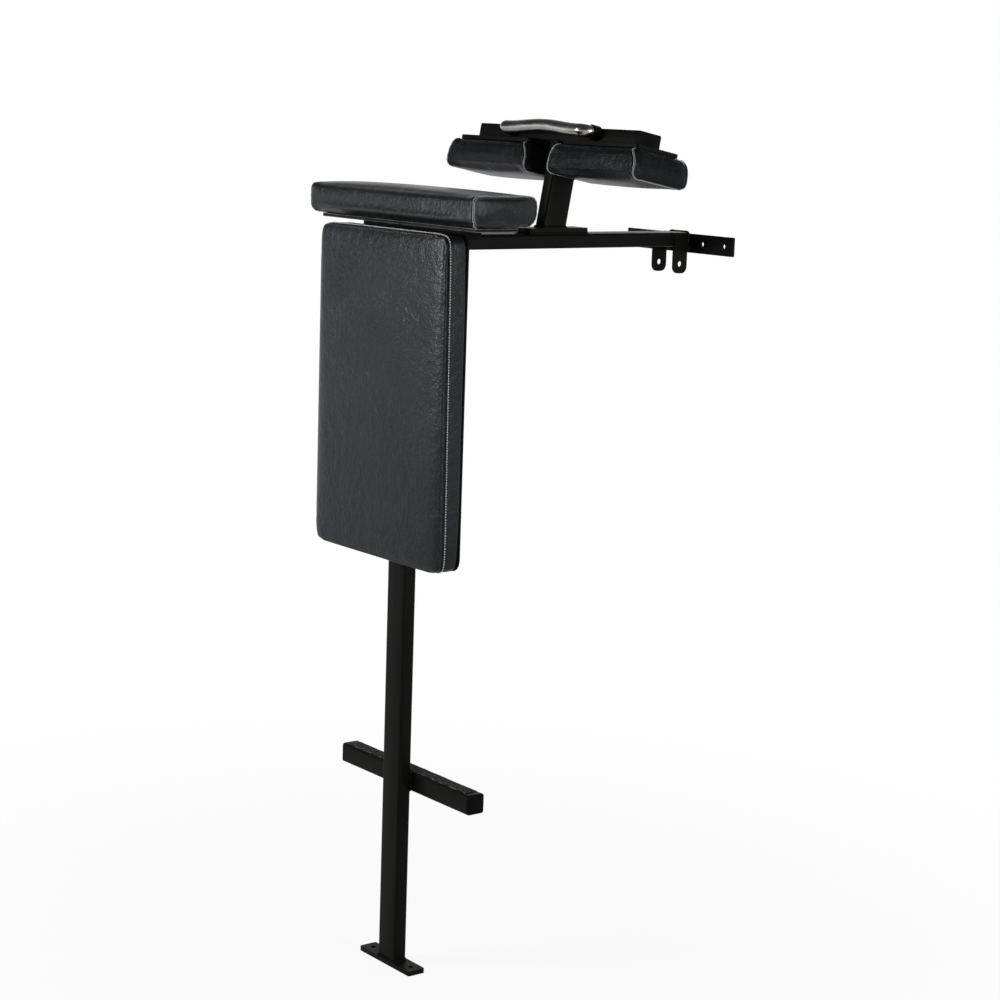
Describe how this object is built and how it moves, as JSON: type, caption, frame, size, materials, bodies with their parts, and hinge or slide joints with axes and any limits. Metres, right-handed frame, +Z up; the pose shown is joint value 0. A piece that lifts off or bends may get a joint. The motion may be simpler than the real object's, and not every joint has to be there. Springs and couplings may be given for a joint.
{
  "type": "abdominal bench",
  "caption": "Rig-mounted abdominal bench: upright with step and back pad, knee cushion, leaning head with hold-down cushions and a polished handle.",
  "frame": {"origin": "centre of the foot plate's underside, on the floor under the post's axis", "axes": "+X across the pads, to the right of someone who faces the back pad; +Y from the post back to the rig; +Z up"},
  "size_m": [0.6116, 0.7814, 1.7155],
  "materials": {
    "frame_steel": "satin black powder coat",
    "handle_steel": "polished",
    "cushion_cover": "charcoal leatherette with a fine grain",
    "board": "black painted plywood",
    "cap_plastic": "matt black",
    "grip_tape": "rough mineral grit",
    "screw_steel": "dark zinc"
  },
  "bodies": {
    "root": {"post_tube": "frame_steel", "arm_tube": "frame_steel", "foot_plate": "frame_steel", "step_tube": "frame_steel", "step_cap_left": "cap_plastic", "step_cap_right": "cap_plastic", "step_grip_strip": "grip_tape", "rig_plate": "frame_steel", "rig_ear_left": "frame_steel", "rig_ear_right": "frame_steel", "riser_base_plate": "frame_steel", "riser_tube": "frame_steel", "cross_member": "frame_steel", "cross_cap_left": "cap_plastic", "cross_cap_right": "cap_plastic", "handle": "handle_steel", "handle_collar_left": "cap_plastic", "handle_collar_right": "cap_plastic", "hold_down_board_left": "board", "hold_down_board_right": "board", "hold_down_pad_left": "cushion_cover", "hold_down_pad_right": "cushion_cover", "hold_down_screw_1": "screw_steel", "hold_down_screw_2": "screw_steel", "hold_down_screw_3": "screw_steel", "hold_down_screw_4": "screw_steel", "knee_bracket": "frame_steel", "knee_bracket_cap_left": "cap_plastic", "knee_bracket_cap_right": "cap_plastic", "knee_board": "board", "knee_cushion": "cushion_cover", "knee_screw_1": "screw_steel", "knee_screw_2": "screw_steel", "knee_screw_3": "screw_steel", "knee_screw_4": "screw_steel", "back_board": "board", "back_pad": "cushion_cover", "back_pad_screw_lower": "screw_steel", "back_pad_screw_upper": "screw_steel", "back_pad_washer_lower": "screw_steel", "back_pad_washer_upper": "screw_steel"}
  },
  "joints": []
}
